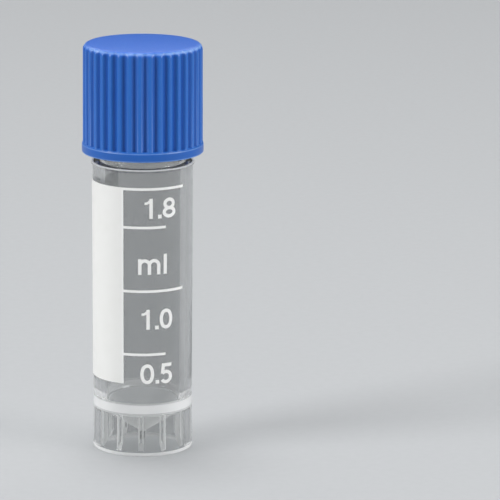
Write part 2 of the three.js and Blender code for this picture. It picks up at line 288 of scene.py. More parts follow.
def section_chain(corners, closed=False):
    """Edges through [radius, height, rounding] corners, with the corners rounded."""
    chain = bmesh.new()
    points = [chain.verts.new((radius, 0, height)) for radius, height, _ in corners]
    for here, there in zip(points, points[1:] + points[:1] if closed else points[1:]):
        chain.edges.new((here, there))
    for point, (_, _, rounding) in zip(points, corners):
        if rounding:
            bmesh.ops.bevel(
                chain,
                geom=[point],
                offset=rounding,
                offset_type="OFFSET",
                affect="VERTICES",
                segments=ROUND_STEPS,
                profile=0.5,
                material=-1,
            )
    return chain


def spin_round(chain, steps):
    """Spins a section once round Z into a closed body whose faces point outwards."""
    bmesh.ops.spin(
        chain,
        geom=chain.verts[:] + chain.edges[:],
        cent=(0, 0, 0),
        axis=(0, 0, 1),
        dvec=(0, 0, 0),
        angle=2 * pi,
        steps=steps,
        use_merge=True,
        use_normal_flip=False,
        use_duplicate=False,
    )
    bmesh.ops.remove_doubles(chain, verts=chain.verts, dist=SAME_POINT)
    bmesh.ops.recalc_face_normals(chain, faces=chain.faces)
    return chain


def turn_to(bm, angle):
    """Turns a shape that was drawn towards +X to an angle from the front."""
    turn = Matrix.Rotation(angle - pi / 2, 3, "Z")
    bmesh.ops.rotate(bm, verts=bm.verts, cent=(0, 0, 0), matrix=turn)


print("a rounded corner has", ROUND_STEPS, "steps")

# %% [markdown]
# Ribs and threads grow out of those walls. In the mould they are grooves in the same steel, so
# part and rib are one body. A Boolean union gives that: the rib is rooted a little inside the
# wall, and the union removes what lies inside. The exact solver is used, because the fast one
# leaves open edges where surfaces graze each other.


# %% Joining and finishing
def bench_object(bm, name):
    """A temporary object from a bmesh, still in millimetres."""
    mesh = bpy.data.meshes.new(name)
    bm.to_mesh(mesh)
    bm.free()
    made = bpy.data.objects.new(name, mesh)
    scene.collection.objects.link(made)
    return made


def joined(base, extras, overlapping=False):
    """The union of a bmesh with others, as one new bmesh."""
    body = bench_object(base, "bench_body")
    tools = [bench_object(extra, "bench_tool") for extra in extras]
    for tool in tools:
        union = body.modifiers.new("union", "BOOLEAN")
        union.operation = "UNION"
        union.solver = "EXACT"
        union.use_self = overlapping
        union.object = tool
    evaluated = body.evaluated_get(bpy.context.evaluated_depsgraph_get())
    result = bmesh.new()
    result.from_mesh(evaluated.to_mesh())
    evaluated.to_mesh_clear()
    for spent in [body, *tools]:
        mesh = spent.data
        bpy.data.objects.remove(spent)
        bpy.data.meshes.remove(mesh)
    return result


def finish_piece(name, bm, materials, body, replaces, sharp_angle=32.0):
    """Puts a bmesh in metres, shades it, and hands it to the frame as a piece."""
    for face in bm.faces:
        face.smooth = True
    for edge in bm.edges:
        edge.smooth = len(edge.link_faces) == 2 and edge.calc_face_angle() < radians(sharp_angle)
    open_edges = sum(len(edge.link_faces) != 2 for edge in bm.edges)
    bmesh.ops.scale(bm, vec=(MM, MM, MM), verts=bm.verts)
    mesh = bpy.data.meshes.new(name)
    bm.to_mesh(mesh)
    bm.free()
    for material in materials:
        mesh.materials.append(material)
    piece = bpy.data.objects.new(name, mesh)
    scene.collection.objects.link(piece)
    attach(piece, body)
    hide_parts(replaces)
    mesh.calc_loop_triangles()
    print(f"{name}: {len(mesh.loop_triangles)} triangles, {open_edges} open edges")


# %% [markdown]
# ## Threads
#
# A screw thread is a section that turns and climbs. Spin does exactly that when it is given a
# shift for each step. A moulded ridge doesn't start square: it fades out of the wall over some
# 25 degrees at both ends, so that the cap finds its way. That is done afterwards, by sinking the
# points near the ends: the height of a point tells which turn it belongs to.

# %% Thread ridge
THREAD_LEAD = 3.0
THREAD_TURNS = 1.75
THREAD_DEPTH = 0.7
ROOT_WIDTH = 1.15
CREST_WIDTH = 0.5
CREST_ROUNDING = 0.1
RUNOUT = radians(25)
ROOT_SINK = 0.2
THREAD_STEPS = 96


def thread_ridge(wall, side, start_angle, start_height):
    """A helical ridge on a wall, standing outwards (side 1) or inwards (side -1)."""
    half, tip = ROOT_WIDTH / 2, CREST_WIDTH / 2
    outline = [(-half, -ROOT_SINK), (half, -ROOT_SINK), (half, 0)]
    outline += [(tip, THREAD_DEPTH), (-tip, THREAD_DEPTH), (-half, 0)]
    bm = bmesh.new()
    points = [bm.verts.new((wall + side * depth, 0, along)) for along, depth in outline]
    bm.faces.new(points)
    bmesh.ops.bevel(
        bm,
        geom=points[3:5],
        offset=CREST_ROUNDING,
        affect="VERTICES",
        segments=3,
        profile=0.5,
        material=-1,
    )
    sweep = THREAD_TURNS * 2 * pi
    steps = round(THREAD_TURNS * THREAD_STEPS)
    bmesh.ops.spin(
        bm,
        geom=bm.verts[:] + bm.edges[:] + bm.faces[:],
        cent=(0, 0, 0),
        axis=(0, 0, 1),
        dvec=(0, 0, THREAD_LEAD / THREAD_STEPS),
        angle=sweep,
        steps=steps,
        use_merge=False,
        use_normal_flip=False,
        use_duplicate=False,
    )
    for point in bm.verts:
        around = atan2(point.co.y, point.co.x)
        turns = round(point.co.z / THREAD_LEAD - around / (2 * pi))
        passed = around + turns * 2 * pi
        share = max(0.0, min(1.0, passed / RUNOUT, (sweep - passed) / RUNOUT))
        radius = hypot(point.co.x, point.co.y)
        depth = side * (radius - wall)
        if depth > -ROOT_SINK / 2:
            sunk = -ROOT_SINK / 2 + (depth + ROOT_SINK / 2) * share
            point.co.xy *= (wall + side * sunk) / radius
    turn_to(bm, start_angle)
    bmesh.ops.translate(bm, verts=bm.verts, vec=(0, 0, start_height))
    bmesh.ops.recalc_face_normals(bm, faces=bm.faces)
    return bm


print(f"thread: {THREAD_TURNS} turns, {THREAD_LEAD} mm a turn, {THREAD_DEPTH} mm deep")

# %% [markdown]
# ## Clear polypropylene
#
# The tube is injection moulded from natural random-copolymer polypropylene, the usual plastic for
# vials that are frozen. Its index is 1.49. It isn't as clear as glass: crystals too small to see
# give it a grey haze, and its polished steel core leaves the lightest of upright draw lines.
#
# The haze could be a cloudy volume, but that is slow and hardly shows in a wall of a millimetre
# and a half. So it is put on the surface instead. The Principled shader's share that isn't
# transmitted is the haze that is seen from outside, and in thick places a Translucent share adds
# the glow of light that has spread inside the plastic. The tint is a little deeper than the real
# one, so that white print stays readable in front of a pale card.
#
# Light that only passes through on its way to another surface would need many bounces to get
# out of a closed wall. So rays from the lamps, and rays scattered by matt surfaces, are let
# straight through, slightly dimmed: the inside of the tube and its shadow are then as light as
# they are round real clear plastic. Each kind of ray has its own Mix Shader, whose factor is one
# output of the Light Path node, because other programs can read that link and no sum of them.

# %% Clear polypropylene
DRAW_LINE_WIDTH = 0.35 * MM
DRAW_LINE_LENGTH = 9.0 * MM
PLASTIC_INDEX = 1.49
SHEEN_SPREAD = 0.3


def clear_polypropylene(name, tint, transmission, roughness, scatter, lamp_tint):
    """Natural polypropylene as moulded. Scatter is the share of light that its haze spreads."""
    plastic = new_material(name)
    coords = add_node(plastic, "TexCoord")
    stretched = add_node(
        plastic,
        "Mapping",
        inputs={
            "Vector": coords.outputs["Object"],
            "Scale": (1 / DRAW_LINE_WIDTH, 1 / DRAW_LINE_WIDTH, 1 / DRAW_LINE_LENGTH),
        },
    )
    draw_lines = add_node(
        plastic,
        "TexNoise",
        inputs={"Vector": stretched.outputs["Vector"], "Scale": 1.0, "Detail": 2.0},
    )
    sheen = add_node(
        plastic,
        "MapRange",
        inputs={
            "Value": draw_lines.outputs["Fac"],
            "To Min": roughness * (1 - SHEEN_SPREAD),
            "To Max": roughness * (1 + SHEEN_SPREAD),
        },
    )
    relief = add_node(
        plastic,
        "Bump",
        inputs={"Height": draw_lines.outputs["Fac"], "Strength": 0.25, "Distance": 0.004 * MM},
    )
    shader = add_node(
        plastic,
        "BsdfPrincipled",
        inputs={
            "Base Color": colour(tint),
            "Roughness": sheen.outputs["Result"],
            "IOR": PLASTIC_INDEX,
            "Transmission Weight": transmission,
            "Normal": relief.outputs["Normal"],
        },
    )
    surface = shader.outputs["BSDF"]
    if scatter:
        glow = add_node(plastic, "BsdfTranslucent", inputs={"Color": colour(tint)})
        hazy = add_node(
            plastic, "MixShader", inputs={0: scatter, 1: surface, 2: glow.outputs["BSDF"]}
        )
        surface = hazy.outputs["Shader"]
    ray = add_node(plastic, "LightPath")
    straight = add_node(plastic, "BsdfTransparent", inputs={"Color": colour(lamp_tint)})
    for kind in ("Is Shadow Ray", "Is Diffuse Ray"):
        passing = add_node(
            plastic,
            "MixShader",
            inputs={0: ray.outputs[kind], 1: surface, 2: straight.outputs["BSDF"]},
        )
        surface = passing.outputs["Shader"]
    set_surface(plastic, "Material", surface)
    return plastic


clear_wall = clear_polypropylene("clear_polypropylene", "D2D3D3", 0.97, 0.05, 0.0, "F8F9F9")
hazy_floor = clear_polypropylene("hazy_polypropylene", "FAFAFA", 0.8, 0.12, 0.6, "F6F6F6")
# The milky grade is haze where the plastic is thick, and also a painted highlight on the tube's
# edges.
milky_and_highlight = clear_polypropylene("milky_polypropylene_and_highlight", "FAFAFA", 0.1, 0.2, 0.4, "F0F0F0")
print("grades:", clear_wall.name, hazy_floor.name, milky_and_highlight.name)

# %% [markdown]
# ## Tube
#
# One moulding: a bore with a conical floor, a skirt below it that the vial stands on, a bead at
# the shoulder where a capping tool grips, and a threaded neck.
#
# Where the plastic is thick, or is seen along its edge, its haze adds up and it looks white: in a
# band where the cone meets the bore, and on the sides of the ribs, whose white faces also paint
# the bright lines along their edges. Round the foot and along the top of the bead the same white
# faces are painted highlights, where those edges catch the light. Those could be separate pieces,
# but the vial is one moulding, so they are faces of one body with the milky grade, and the cone
# and the edges of the band have the hazy one. The section has points where those end, so that the
# faces end there too.

# %% Tube section
BORE_RADIUS = 4.56
BORE_FLOOR_RADIUS = 4.51
BODY_RADIUS = 6.0
WAIST_RADIUS = 5.93
FOOT_RADIUS = 5.98
SKIRT_BORE_RADIUS = 5.0
SKIRT_TOP_RADIUS = 4.9
NECK_RADIUS = 5.16
BEAD_RADIUS = 6.15
BEAD_HEIGHT = 0.32
BEAD_RING_RADIUS = 5.9
NECK_HEIGHT = 11.75
SHOULDER_Z = RIM_Z - NECK_HEIGHT
CONE_RISE = 2.82
CONE_SLOPE = CONE_RISE / BORE_FLOOR_RADIUS
CONE_TIP_Z = 3.0
CONE_TIP_RADIUS = 0.5
CONE_UNDER_TIP_Z = 1.8
FLOOR_EDGE_Z = 5.82
GATE_Z = 1.05
GATE_RADIUS = 0.27
BAND_LOW_Z = 5.3
BAND_HIGH_Z = 6.35
BAND_FADE = 0.22
FOOT_BAND_Z = 0.46
FOOT_BAND_RADIUS = 5.977
TUBE_STEPS = 192


def cone_inside(radius):
    """Height of the cone's upper face at a distance from the axis."""
    return CONE_TIP_Z + CONE_SLOPE * radius


def cone_outside(radius):
    """Height of the cone's lower face at a distance from the axis."""
    return CONE_UNDER_TIP_Z + CONE_SLOPE * radius


def wall_radius(height):
    """Outer radius of the drafted wall between the floor's edge and the shoulder."""
    share = (height - FLOOR_EDGE_Z) / (SHOULDER_Z - FLOOR_EDGE_Z)
    return WAIST_RADIUS + (BODY_RADIUS - WAIST_RADIUS) * share


bead_foot = SHOULDER_Z - BEAD_HEIGHT
tube_body = spin_round(
    section_chain(
        [
            (0, GATE_Z, 0),
            (GATE_RADIUS, GATE_Z, 0.08),
            (GATE_RADIUS, cone_outside(GATE_RADIUS), 0.12),
            (SKIRT_TOP_RADIUS, cone_outside(SKIRT_TOP_RADIUS), 0.2),
            (SKIRT_BORE_RADIUS, 0, 0.16),
            (FOOT_RADIUS, 0, 0.2),
            (FOOT_BAND_RADIUS, FOOT_BAND_Z, 0),
            (WAIST_RADIUS, BAND_LOW_Z - BAND_FADE, 0),
            (WAIST_RADIUS, BAND_LOW_Z, 0),
            (WAIST_RADIUS, BAND_HIGH_Z, 0),
            (WAIST_RADIUS, BAND_HIGH_Z + BAND_FADE, 0),
            (wall_radius(bead_foot), bead_foot, 0.05),
            (BEAD_RADIUS, bead_foot, 0.12),
            (BEAD_RADIUS, SHOULDER_Z, 0.12),
            (BEAD_RING_RADIUS, SHOULDER_Z, 0),
            (NECK_RADIUS, SHOULDER_Z, 0.15),
            (NECK_RADIUS, RIM_Z, 0.15),
            (BORE_RADIUS, RIM_Z, 0.15),
            (BORE_FLOOR_RADIUS, cone_inside(BORE_FLOOR_RADIUS), 0.6),
            (CONE_TIP_RADIUS, cone_inside(CONE_TIP_RADIUS), 0.25),
            (0, cone_inside(CONE_TIP_RADIUS), 0),
        ]
    ),
    TUBE_STEPS,
)
print("tube body:", len(tube_body.faces), "faces")

# %% [markdown]
# Twelve small ribs stand inside the skirt. A rack has matching teeth, so the vial can't turn
# while the cap is screwed with one hand. Each rib is a flat outline with a bevelled foot,
# extruded to its width. One is drawn, and a spin that duplicates makes the other eleven.

# %% Skirt ribs
RIB_COUNT = 12
RIB_DEPTH = 0.5
RIB_WIDTH = 0.55
RIB_FOOT = 0.5
RIB_BEVEL = 0.95
RIB_ROUNDING = 0.13
RIB_TURN = radians(-2.3)

rib_root = SKIRT_BORE_RADIUS + ROOT_SINK
rib_crest = SKIRT_BORE_RADIUS - RIB_DEPTH
ribs = bmesh.new()
rib_outline = [
    (rib_crest, RIB_FOOT + RIB_BEVEL),
    (rib_root, RIB_FOOT - ROOT_SINK * RIB_BEVEL / RIB_DEPTH),
    (rib_root, cone_outside(rib_root)),
    (rib_crest, cone_outside(rib_root)),
]
rib_corners = [ribs.verts.new((radius, -RIB_WIDTH / 2, z)) for radius, z in rib_outline]
rib_face = ribs.faces.new(rib_corners)
rib_side = bmesh.ops.extrude_face_region(ribs, geom=[rib_face], use_keep_orig=True)["geom"]
rib_points = [part for part in rib_side if isinstance(part, bmesh.types.BMVert)]
bmesh.ops.translate(ribs, verts=rib_points, vec=(0, RIB_WIDTH, 0))
bmesh.ops.recalc_face_normals(ribs, faces=ribs.faces)
long_edges = [
    edge
    for edge in ribs.edges
    if all(abs(end.co.x - rib_crest) < SAME_POINT for end in edge.verts)
    and abs(edge.verts[0].co.y - edge.verts[1].co.y) < SAME_POINT
]
bmesh.ops.bevel(
    ribs,
    geom=long_edges,
    offset=RIB_ROUNDING,
    affect="EDGES",
    segments=2,
    profile=0.5,
    material=-1,
)
turn_to(ribs, RIB_TURN)
bmesh.ops.spin(
    ribs,
    geom=ribs.verts[:] + ribs.edges[:] + ribs.faces[:],
    cent=(0, 0, 0),
    axis=(0, 0, 1),
    dvec=(0, 0, 0),
    angle=2 * pi * (RIB_COUNT - 1) / RIB_COUNT,
    steps=RIB_COUNT - 1,
    use_merge=False,
    use_normal_flip=False,
    use_duplicate=True,
)
print("skirt ribs:", len(ribs.faces), "faces")

# %% Neck thread
THREAD_DROP = 1.0
neck_thread_z = RIM_Z - THREAD_DROP - ROOT_WIDTH / 2 - THREAD_TURNS * THREAD_LEAD
neck_thread = thread_ridge(NECK_RADIUS, 1, 0.0, neck_thread_z)
tube_shape = joined(tube_body, [ribs, neck_thread])
print("tube with ribs and thread:", len(tube_shape.faces), "faces")

# %% [markdown]
# A face's middle and its direction say which part of the tube it is on, and so how thick the
# plastic behind it is and where a highlight is painted. A rib's sides are its faces that don't
# look at the axis, its bevelled foot looks down, and the cone is known by its slope.

# %% Tube
CLEAR, HAZY, MILKY_AND_HIGHLIGHT = range(3)
BEAD_LINE = 0.14
WALL_MIDDLE_RADIUS = 5.5
RIB_MARGIN = 0.05
SKIRT_MARGIN = 0.03
SIDE_FACING = 0.94
FOOT_FACING = -0.3
CONE_FACING = 0.3


def haze_grade(face):
    """Which grade of the plastic a face of the tube shows."""
    middle = face.calc_center_median()
    radius = hypot(middle.x, middle.y)
    outward = Vector((middle.x, middle.y, 0)).normalized()
    on_wall = radius > WALL_MIDDLE_RADIUS
    in_band = BAND_LOW_Z < middle.z < BAND_HIGH_Z
    by_band = BAND_LOW_Z - BAND_FADE < middle.z < BAND_HIGH_Z + BAND_FADE
    on_bead = radius > BEAD_RING_RADIUS and middle.z > SHOULDER_Z - BEAD_LINE
    # The milky faces on the bead's top and round the foot are painted highlights.
    if on_bead or (on_wall and (in_band or middle.z < FOOT_BAND_Z)):
        return MILKY_AND_HIGHLIGHT
    between = rib_crest - RIB_MARGIN < radius < SKIRT_TOP_RADIUS - SKIRT_MARGIN
    on_rib = between and 0 < middle.z < BAND_LOW_Z
    if on_rib and face.normal.z < FOOT_FACING:
        return HAZY
    # A rib's sides show the haze seen along the plastic, painted white also as the bright lines
    # of its edges.
    if on_rib and abs(face.normal.dot(outward)) < SIDE_FACING:
        return MILKY_AND_HIGHLIGHT
    in_floor = radius < BORE_FLOOR_RADIUS and 0 < middle.z < FLOOR_EDGE_Z
    on_cone = in_floor and face.normal.z**2 > CONE_FACING
    return HAZY if on_cone or (on_wall and by_band) else CLEAR


for face in tube_shape.faces:
    face.material_index = haze_grade(face)
grades = [clear_wall, hazy_floor, milky_and_highlight]
finish_piece("clear_tube", tube_shape, grades, "vial_tube", "tube")

# %% [markdown]
# ## Cap
#
# The cap is one blue moulding. Its grip is 36 rounded ribs that run from a plain band at the
# mouth up into the rounded top edge. Ribs could be cut one by one, but a cap turned in enough
# steps has a column of points for every step, and pushing in the columns that lie in a groove
# gives the flowing, rounded form of a moulded grip without a single cut.

# %% Cap section
GRIP_RADIUS = 7.14
GRIP_TOP_RADIUS = 7.10
GROOVE_RADIUS = 6.84
BAND_RADIUS = 7.24
BAND_HEIGHT = 1.15
BAND_EDGE = 0.15
LEDGE_SLOPE = 0.14
TOP_ROUNDING = 0.7
CAP_BORE_RADIUS = 6.11
CAP_MOUTH_EDGE = 0.25
PLUG_RADIUS = 4.26
PLUG_WALL = 0.85
PLUG_REACH = 2.0
SEAL_SEAT_GAP = 0.05
ROOF_Z = SEAL_TOP_Z + SEAL_SEAT_GAP
GRIP_RUNOUT = 0.12
RUNOUT_MIDDLE = 0.05
GRIP_COUNT = 36
STEPS_PER_RIB = 14

ledge_z = MOUTH_Z + BAND_HEIGHT
plug_foot = RIM_Z - PLUG_REACH
cap_body = spin_round(
    section_chain(
        [
            (0, TOP_Z, 0),
            (GRIP_TOP_RADIUS, TOP_Z, TOP_ROUNDING),
            (GRIP_RADIUS, ledge_z + GRIP_RUNOUT, 0),
            (GRIP_RADIUS, ledge_z + RUNOUT_MIDDLE, 0),
            (GRIP_RADIUS, ledge_z, 0),
            (BAND_RADIUS, ledge_z - LEDGE_SLOPE, 0.08),
            (BAND_RADIUS, MOUTH_Z, BAND_EDGE),
            (CAP_BORE_RADIUS + CAP_MOUTH_EDGE, MOUTH_Z, 0.06),
            (CAP_BORE_RADIUS, MOUTH_Z + CAP_MOUTH_EDGE, 0.06),
            (CAP_BORE_RADIUS, ROOF_Z, 0.2),
            (PLUG_RADIUS, ROOF_Z, 0.15),
            (PLUG_RADIUS, plug_foot, 0.28),
            (PLUG_RADIUS - PLUG_WALL, plug_foot, 0.12),
            (PLUG_RADIUS - PLUG_WALL, ROOF_Z, 0.2),
            (0, ROOF_Z, 0),
        ]
    ),
    GRIP_COUNT * STEPS_PER_RIB,
)
print("cap body:", len(cap_body.faces), "faces")

# %% Grip
GRIP_TURN = radians(-2.9)
GROOVE_HALF_WIDTH = 0.53


def smooth_step(value):
    """Rises from 0 to 1 with a soft start and a soft end."""
    value = max(0.0, min(1.0, value))
    return value * value * (3 - 2 * value)


pitch = 2 * pi / GRIP_COUNT
for point in cap_body.verts:
    radius = hypot(point.co.x, point.co.y)
    if radius <= GROOVE_RADIUS or point.co.z <= ledge_z + SAME_POINT:
        continue
    from_front = atan2(point.co.x, -point.co.y) - GRIP_TURN
    to_groove = abs((from_front % pitch) - pitch / 2) * GRIP_RADIUS
    opened = smooth_step(1 - to_groove / GROOVE_HALF_WIDTH)
    settled = smooth_step((point.co.z - ledge_z) / GRIP_RUNOUT)
    point.co.xy *= (radius - (radius - GROOVE_RADIUS) * opened * settled) / radius
print(f"grooves: {GRIP_COUNT}, {GRIP_RADIUS - GROOVE_RADIUS:.2f} mm deep")

# %% [markdown]
# Inside, the cap carries the same thread as the neck, and it lies just under the neck's ridge,
# by their mean width and some play. Where it starts follows from that.

# %% Cap thread
THREAD_LIFT = 1.0
THREAD_PLAY = 0.3
THREAD_CLEARANCE = 0.25
flank_slope = (ROOT_WIDTH - CREST_WIDTH) / 2 / THREAD_DEPTH
thread_offset = (ROOT_WIDTH + CREST_WIDTH) / 2 - flank_slope * THREAD_CLEARANCE + THREAD_PLAY
cap_thread_z = MOUTH_Z + THREAD_LIFT + ROOT_WIDTH / 2
cap_thread_start = (cap_thread_z + thread_offset - neck_thread_z) / THREAD_LEAD * 2 * pi
cap_thread = thread_ridge(CAP_BORE_RADIUS, -1, cap_thread_start, cap_thread_z)
cap_shape = joined(cap_body, [cap_thread])
print("cap with thread:", len(cap_shape.faces), "faces")

# %% [markdown]
# ## Blue polypropylene
#
# The cap is pigmented polypropylene from a finely spark-eroded mould: a soft satin, not a gloss.
# Pigment is never mixed quite evenly, which gives slow, faint changes of tone.

# %% Pigment
PIGMENT_CLOUD = 3.0 * MM

cap_plastic = new_material("satin_blue_polypropylene")
coords = add_node(cap_plastic, "TexCoord")
clouds = add_node(
    cap_plastic,
    "TexNoise",
    inputs={"Vector": coords.outputs["Object"], "Scale": 1 / PIGMENT_CLOUD, "Detail": 3.0},
)
pigment = add_node(
    cap_plastic,
    "Mix",
    {"data_type": "RGBA"},
    {"Factor": clouds.outputs["Fac"], "A": colour("2966BA"), "B": colour("306EC3")},
)
print(f"pigment: clouds of {PIGMENT_CLOUD / MM:.0f} mm")

# %% [markdown]
# The grooves are painted a deeper blue than the crests, as the shade that gathers in them, and
# the flat top a brighter blue, as the light that falls on it from above. An image could paint
# that, but the shape already says where it belongs: the distance from the axis tells crest from
# groove, and the height finds the flat top and the plain band, which is painted part of the way
# to the grooves' shade.

# %% Painted shade in the grooves and light on the top
# Painted shade for the grooves, the band and the cap's inside, and painted light for the flat
# top.
GROOVE_SHADE_TONE = colour("07459A")
TOP_LIGHT_TONE = colour("2A66C8")
GROOVE_MARGIN = 0.03
FLAT_TOP_FADE = 0.2
BAND_TONE_LOW = 0.12
BAND_TONE_HIGH = 0.02
BAND_CREST_SHARE = 0.62

from_axis = add_node(
    cap_plastic,
    "VectorMath",
    {"operation": "MULTIPLY"},
    {0: coords.outputs["Object"], 1: (1, 1, 0)},
)
distance = add_node(
    cap_plastic, "VectorMath", {"operation": "LENGTH"}, {0: from_axis.outputs["Vector"]}
)
on_crest = add_node(
    cap_plastic,
    "MapRange",
    inputs={
        "Value": distance.outputs["Value"],
        "From Min": (GROOVE_RADIUS - GROOVE_MARGIN) * MM,
        "From Max": GRIP_RADIUS * MM,
    },
)
place = add_node(cap_plastic, "SeparateXYZ", inputs={"Vector": coords.outputs["Object"]})
near_top = add_node(
    cap_plastic,
    "MapRange",
    {"interpolation_type": "SMOOTHSTEP"},
    {
        "Value": place.outputs["Z"],
        "From Min": (TOP_Z - TOP_ROUNDING) * MM,
        "From Max": (TOP_Z - FLAT_TOP_FADE) * MM,
    },
)
above_band = add_node(
    cap_plastic,
    "MapRange",
    inputs={
        "Value": place.outputs["Z"],
        "From Min": (ledge_z - BAND_TONE_LOW) * MM,
        "From Max": (ledge_z + BAND_TONE_HIGH) * MM,
        "To Min": BAND_CREST_SHARE,
    },
)
crest_share = add_node(
    cap_plastic,
    "Math",
    {"operation": "MULTIPLY"},
    {0: on_crest.outputs["Result"], 1: above_band.outputs["Result"]},
)
# Painted shade: the groove tone wherever the surface lies deeper, all of it inside the cap and
# part of it on the plain band.
painted_groove_shade = add_node(
    cap_plastic,
    "Mix",
    {"data_type": "RGBA"},
    {"Factor": crest_share.outputs["Value"], "A": GROOVE_SHADE_TONE, "B": pigment.outputs["Result"]},
)
# Painted light: the flat top turns a brighter blue.
painted_shade_and_top_light = add_node(
    cap_plastic,
    "Mix",
    {"data_type": "RGBA"},
    {"Factor": near_top.outputs["Result"], "A": painted_groove_shade.outputs["Result"], "B": TOP_LIGHT_TONE},
)
print(f"tone: {GROOVE_RADIUS - GROOVE_MARGIN:.2f} to {GRIP_RADIUS:.2f} mm from the axis")

# %% [markdown]
# Three outer edges are painted paler, as highlights where they catch the lamps and as scuffing
# from use: most at the top, least where the ribs end. Each is a short range of heights, and the
# two lower ones count only where the plain band stands out. The clouds break the paler tone up,
# since nothing scuffs evenly.

# %% Painted edge highlights and scuffing
HIGHLIGHT_AND_WEAR_TONE = colour("82A8E4")
TOP_EDGE_HALF = 0.24
LEDGE_EDGE_HALF = 0.13
MOUTH_EDGE_HALF = 0.14
OUTER_MARGIN = 0.02


def edge_band(height, half_width, highlight_and_wear_share):
    """The share of painted highlight and scuffing at a height in millimetres, fading to 0 half a
    width above and below it.
    """
    offset = add_node(
        cap_plastic, "Math", {"operation": "SUBTRACT"}, {0: place.outputs["Z"], 1: height * MM}
    )
    away = add_node(cap_plastic, "Math", {"operation": "ABSOLUTE"}, {0: offset.outputs["Value"]})
    return add_node(
        cap_plastic,
        "MapRange",
        {"interpolation_type": "SMOOTHSTEP"},
        {
            "Value": away.outputs["Value"],
            "From Max": half_width * MM,
            "To Min": highlight_and_wear_share,
            "To Max": 0.0,
        },
    )


# Painted highlights, with some scuffing, along the top edge, the ledge and the mouth.
top_edge = edge_band(TOP_Z - TOP_EDGE_HALF, TOP_EDGE_HALF, highlight_and_wear_share=1.0)
ledge_edge = edge_band(ledge_z - LEDGE_SLOPE, LEDGE_EDGE_HALF, highlight_and_wear_share=0.6)
mouth_edge = edge_band(MOUTH_Z + BAND_EDGE / 2, MOUTH_EDGE_HALF, highlight_and_wear_share=0.9)
band_edges = add_node(
    cap_plastic,
    "Math",
    {"operation": "MAXIMUM"},
    {0: ledge_edge.outputs["Result"], 1: mouth_edge.outputs["Result"]},
)
outermost = add_node(
    cap_plastic,
    "MapRange",
    inputs={
        "Value": distance.outputs["Value"],
        "From Min": (GRIP_RADIUS + OUTER_MARGIN) * MM,
        "From Max": (BAND_RADIUS - OUTER_MARGIN) * MM,
    },
)
lower_edges = add_node(
    cap_plastic,
    "Math",
    {"operation": "MULTIPLY"},
    {0: band_edges.outputs["Value"], 1: outermost.outputs["Result"]},
)
edges = add_node(
    cap_plastic,
    "Math",
    {"operation": "MAXIMUM"},
    {0: top_edge.outputs["Result"], 1: lower_edges.outputs["Value"]},
)
highlighted_and_rubbed = add_node(
    cap_plastic,
    "MapRange",
    inputs={"Value": clouds.outputs["Fac"], "From Min": 0.3, "From Max": 0.7, "To Min": 0.45},
)
painted_highlight_and_wear = add_node(
    cap_plastic,
    "Math",
    {"operation": "MULTIPLY"},
    {0: edges.outputs["Value"], 1: highlighted_and_rubbed.outputs["Result"]},
)
# The paler tone paints the highlights and scuffing on those edges.
cap_tone = add_node(
    cap_plastic,
    "Mix",
    {"data_type": "RGBA"},
    {"Factor": painted_highlight_and_wear.outputs["Value"], "A": painted_shade_and_top_light.outputs["Result"], "B": HIGHLIGHT_AND_WEAR_TONE},
)
print(f"rubbed edges: {2 * TOP_EDGE_HALF:.2f} mm at the top, {2 * MOUTH_EDGE_HALF:.2f} below")

# %% [markdown]
# A spark-eroded mould leaves a texture of about a tenth of a millimetre, drawn here a little
# coarser so that it shows. Light travels some tenths of a millimetre into the plastic, which
# softens the ribs' edges.

# %% Satin surface
TEXTURE_GRAIN = 0.16 * MM

grain = add_node(
    cap_plastic,
    "TexNoise",
    inputs={"Vector": coords.outputs["Object"], "Scale": 1 / TEXTURE_GRAIN, "Detail": 2.0},
)
satin = add_node(
    cap_plastic,
    "MapRange",
    inputs={"Value": grain.outputs["Fac"], "To Min": 0.28, "To Max": 0.4},
)
texture = add_node(
    cap_plastic,
    "Bump",
    inputs={"Height": grain.outputs["Fac"], "Strength": 0.4, "Distance": 0.018 * MM},
)
cap_shader = add_node(
    cap_plastic,
    "BsdfPrincipled",
    inputs={
        "Base Color": cap_tone.outputs["Result"],
        "Roughness": satin.outputs["Result"],
        "IOR": PLASTIC_INDEX,
        "Specular IOR Level": 0.35,
        "Subsurface Weight": 0.08,
        "Subsurface Radius": (0.3 * MM, 0.45 * MM, 0.8 * MM),
        "Subsurface Scale": 1.0,
        "Normal": texture.outputs["Normal"],
    },
)
set_surface(cap_plastic, "Material", cap_shader.outputs["BSDF"])
finish_piece("screw_cap", cap_shape, [cap_plastic], "screw_cap", "cap")

# %% [markdown]
# ## Seal ring
#
# A flat ring of translucent silicone, moulded and deflashed, so its edges are softly rounded. It
# is milky white with a cool cast and has the dull, slightly clinging surface of silicone.

# %% Seal ring
SEAL_INNER = 4.31
SEAL_OUTER = 5.81
SEAL_ROUNDING = 0.18
BLOOM_SIZE = 0.4 * MM

silicone = new_material("translucent_silicone")
coords = add_node(silicone, "TexCoord")
bloom = add_node(
    silicone,
    "TexNoise",
    inputs={"Vector": coords.outputs["Object"], "Scale": 1 / BLOOM_SIZE, "Detail": 3.0},
)
dullness = add_node(
    silicone,
    "MapRange",
    inputs={"Value": bloom.outputs["Fac"], "To Min": 0.32, "To Max": 0.5},
)
silicone_shader = add_node(
    silicone,
    "BsdfPrincipled",
    inputs={
        "Base Color": colour("E4EAF0"),
        "Roughness": dullness.outputs["Result"],
        "IOR": 1.41,
        "Transmission Weight": 0.45,
    },
)
set_surface(silicone, "Material", silicone_shader.outputs["BSDF"])

